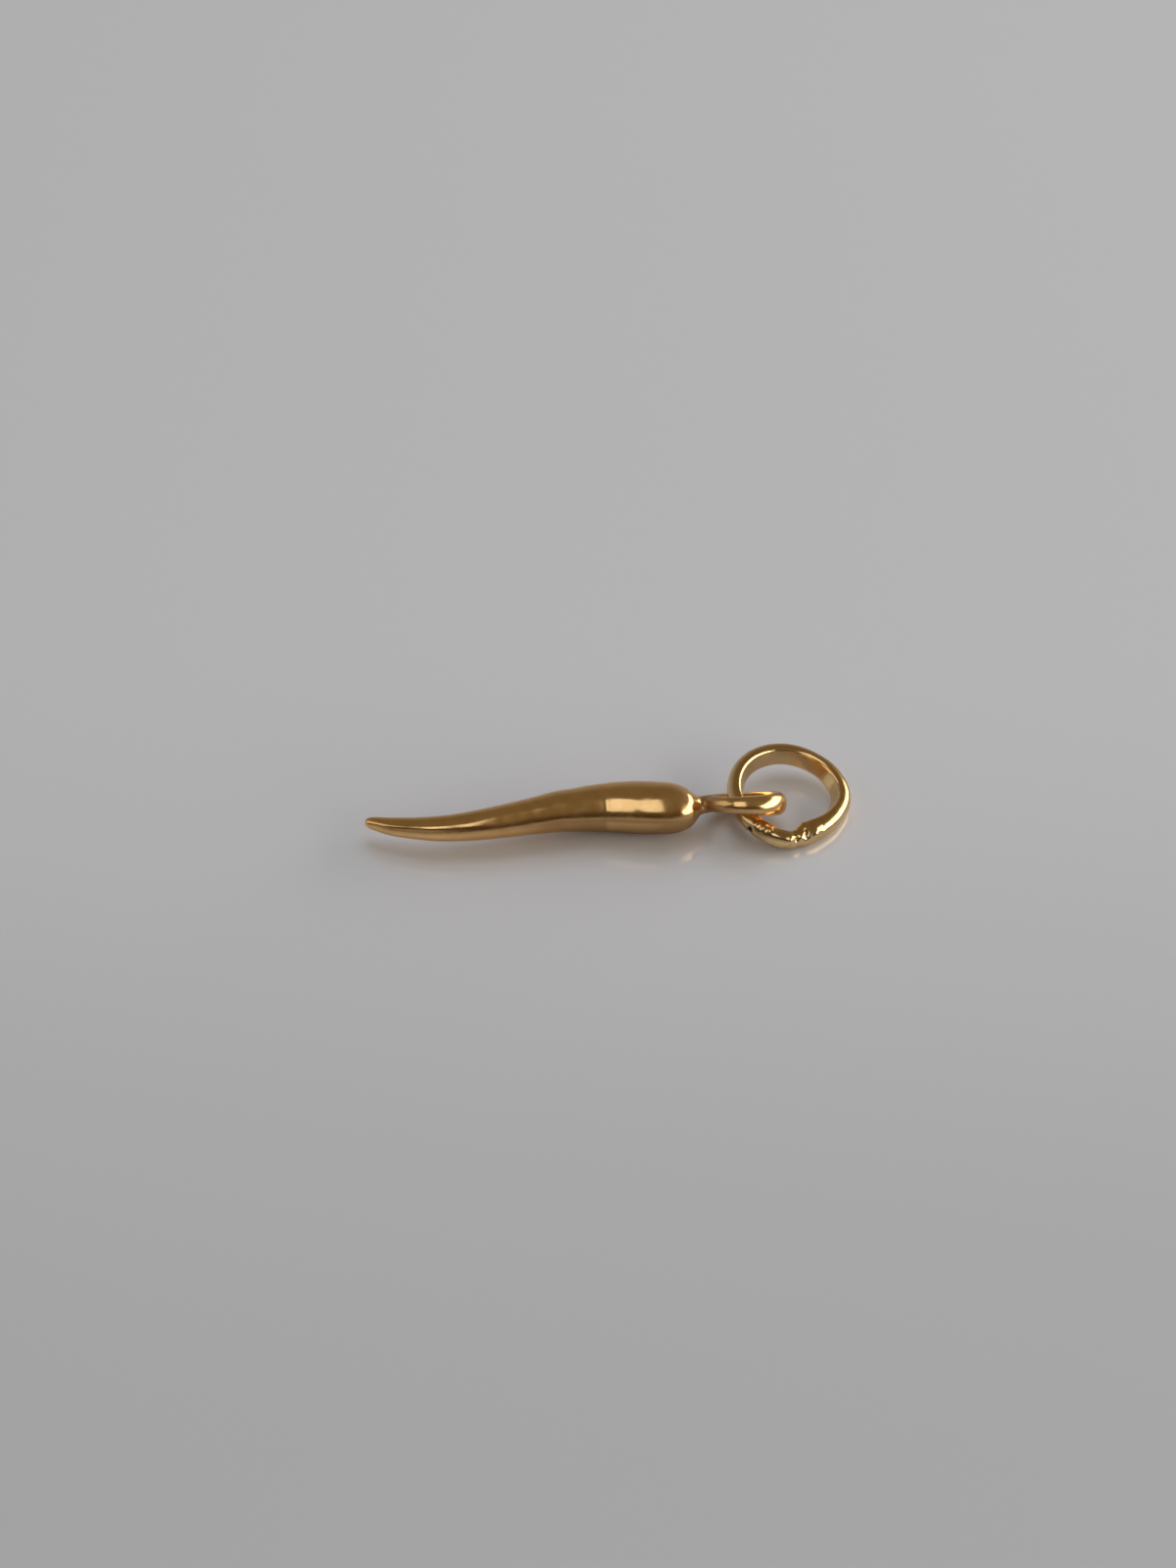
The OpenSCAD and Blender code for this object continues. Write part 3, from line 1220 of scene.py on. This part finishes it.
@dataclass(frozen=True)
class Panel:
    """A soft light, set by its direction from the pendant and its spread in degrees, and how far it is."""

    name: str
    azimuth: float
    elevation: float
    across: float
    upwards: float
    radiance: float
    roll: float = 0.0
    distance: float = 1.0
    color: Triple = (1.0, 1.0, 1.0)
    reach: Reach = Reach.EVERYTHING

    def make(self) -> bpy.types.Object:
        """Makes the light, turned towards the pendant.

        Returns:
            The light object.
        """
        data = bpy.data.lights.new(self.name, "AREA")
        data.shape = "RECTANGLE"
        data.size = 2 * self.distance * math.tan(math.radians(self.across / 2))
        data.size_y = 2 * self.distance * math.tan(math.radians(self.upwards / 2))
        data.energy = self.radiance * math.pi * data.size * data.size_y
        data.color = self.color
        light = bpy.data.objects.new(self.name, data)
        light.visible_diffuse = self.reach in (Reach.EVERYTHING, Reach.MATT)
        light.visible_glossy = self.reach is not Reach.MATT
        azimuth, elevation, roll = (math.radians(v) for v in (self.azimuth, self.elevation, self.roll))
        flat = math.cos(elevation)
        away = Vector((flat * math.cos(azimuth), flat * math.sin(azimuth), math.sin(elevation)))
        beside = Vector((-math.sin(azimuth), math.cos(azimuth), 0.0))
        up = away.cross(beside) * math.cos(roll) - beside * math.sin(roll)
        turned = Matrix((up.cross(away), up, away)).transposed()
        light.matrix_world = Matrix.Translation(away * self.distance) @ turned.to_4x4()
        bpy.context.scene.collection.objects.link(light)
        return light


WINDOW = Panel("window", azimuth=0, elevation=14, across=90, upwards=36, radiance=3.5)


@dataclass(frozen=True)
class Studio:
    """The pale surface, the dim room and the soft lights."""

    floor_half: float = 1200.0
    floor_sink: float = 0.02
    floor_color: Triple = (0.82, 0.81, 0.82)
    # Painted shade: the floor's colour darkens towards the front.
    floor_shaded_front: Triple = (0.68, 0.67, 0.685)
    floor_fade: Pair = (-45.0, 15.0)
    # Painted shade in reflections: glossy rays see the floor darker, and darker still close in front of the
    # horn.
    mirrored_floor: Triple = (0.72, 0.72, 0.78)
    mirrored_painted_shade: Triple = (0.37, 0.36, 0.39)
    painted_shade_place: Triple = (2.0, -6.0, 0.0)
    painted_shade_reach: Pair = (3.0, 9.0)
    floor_roughness: float = 0.12
    floor_shine: float = 0.9
    ceiling: Triple = (0.165, 0.140, 0.100)
    back: Triple = (0.28, 0.28, 0.29)
    front: Triple = (0.060, 0.042, 0.025)
    back_step: Pair = (-0.55, 0.15)
    ceiling_step: Pair = (0.10, 0.75)
    panels: tuple[Panel, ...] = (
        replace(WINDOW, reach=Reach.GOLD),
        replace(WINDOW, name="window_on_floor", reach=Reach.MATT),
        Panel(
            "lamp",
            azimuth=-113,
            elevation=51,
            across=27,
            upwards=50,
            radiance=0.85,
            roll=20,
            color=(1.0, 1.1, 1.25),
            reach=Reach.MIRRORS,
        ),
        Panel("left_wall", azimuth=-170, elevation=30, across=50, upwards=40, radiance=0.5),
        Panel(
            "overhead",
            azimuth=75,
            elevation=60,
            across=50,
            upwards=40,
            radiance=1.15,
            color=(0.87, 1.0, 1.2),
            reach=Reach.MATT,
        ),
    )

    def make(self, pieces: list[bpy.types.Object]) -> None:
        """Makes the floor, the room and the lights.

        Args:
            pieces: The pieces of gold, which alone mirror the window.
        """
        self.floor()
        bpy.context.scene.world = self.room()
        gold = bpy.data.collections.new("gold")
        for piece in pieces:
            gold.objects.link(piece)
        for panel in self.panels:
            light = panel.make()
            if panel.reach is Reach.GOLD:
                light.light_linking.receiver_collection = gold

    def floor(self) -> bpy.types.Object:
        """Makes the surface, a hair below the pendant.

        Returns:
            The floor object.
        """
        half = self.floor_half
        corners = np.array([(-half, -half, 0.0), (half, -half, 0.0), (half, half, 0.0), (-half, half, 0.0)])
        floor = mesh_object("floor", corners, [(0, 1, 2, 3)])
        floor.location.z = -self.floor_sink * MM
        floor.data.materials.append(self.floor_material())
        return floor

    def room(self) -> bpy.types.World:
        """The dim room: darkest in front, lighter low down at the back.

        Returns:
            The world that shows it.
        """
        world = bpy.data.worlds.new("room")
        world.use_nodes = True
        tree = world.node_tree
        place = tree.nodes.new("ShaderNodeTexCoord")
        axes = tree.nodes.new("ShaderNodeSeparateXYZ")
        tree.links.new(place.outputs["Generated"], axes.inputs["Vector"])
        backward = soft_step(tree, axes.outputs["Y"], self.back_step)
        upward = soft_step(tree, axes.outputs["Z"], self.ceiling_step)
        low = mixed_color(tree, backward, self.front, self.back)
        whole = mixed_color(tree, upward, low, self.ceiling)
        tree.links.new(whole, tree.nodes["Background"].inputs["Color"])
        return world

    def floor_material(self) -> bpy.types.Material:
        """The smooth, pale, slightly mirroring surface, with painted shade: its colour darkens towards the
        front, and glossy rays see it darker still, most of all close in front of the horn.

        Returns:
            The material.
        """
        material = bpy.data.materials.new("pale_surface")
        material.use_nodes = True
        tree = material.node_tree
        place = tree.nodes.new("ShaderNodeTexCoord").outputs["Object"]
        # Painted shade seen only in reflections, darkest round one place in front of the horn.
        away = tree.nodes.new("ShaderNodeVectorMath")
        away.operation = "DISTANCE"
        away.inputs[1].default_value = [value * MM for value in self.painted_shade_place]
        tree.links.new(place, away.inputs[0])
        near, far = self.painted_shade_reach
        lit = soft_step(tree, away.outputs["Value"], (near * MM, far * MM))
        mirrored = mixed_color(tree, lit, self.mirrored_painted_shade, self.mirrored_floor)
        axes = tree.nodes.new("ShaderNodeSeparateXYZ")
        tree.links.new(place, axes.inputs["Vector"])
        # Painted shade: darker towards the front.
        front, back = self.floor_fade
        backward = soft_step(tree, axes.outputs["Y"], (front * MM, back * MM))
        plain = mixed_color(tree, backward, self.floor_shaded_front, self.floor_color)
        path = tree.nodes.new("ShaderNodeLightPath")
        seen = mixed_color(tree, path.outputs["Is Glossy Ray"], plain, mirrored)
        shader = tree.nodes["Principled BSDF"]
        tree.links.new(seen, shader.inputs["Base Color"])
        shader.inputs["Roughness"].default_value = self.floor_roughness
        shader.inputs["Specular IOR Level"].default_value = self.floor_shine
        return material


def main() -> None:
    """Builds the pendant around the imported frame, and sets up its view and light."""
    logging.basicConfig(level=logging.INFO, format="%(message)s")
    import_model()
    horn_form, bail_form = Horn(), Bail()
    horn = horn_form.build()
    bail = bail_form.build(horn_form)
    seat([horn, bail])
    horn_form.dress(horn)
    bail_form.dress(bail)
    View().make()
    Studio().make([horn, bail])
    scene = bpy.context.scene
    scene.view_settings.view_transform = "Standard"
    scene.view_settings.look = "None"


if __name__ == "__main__":
    main()
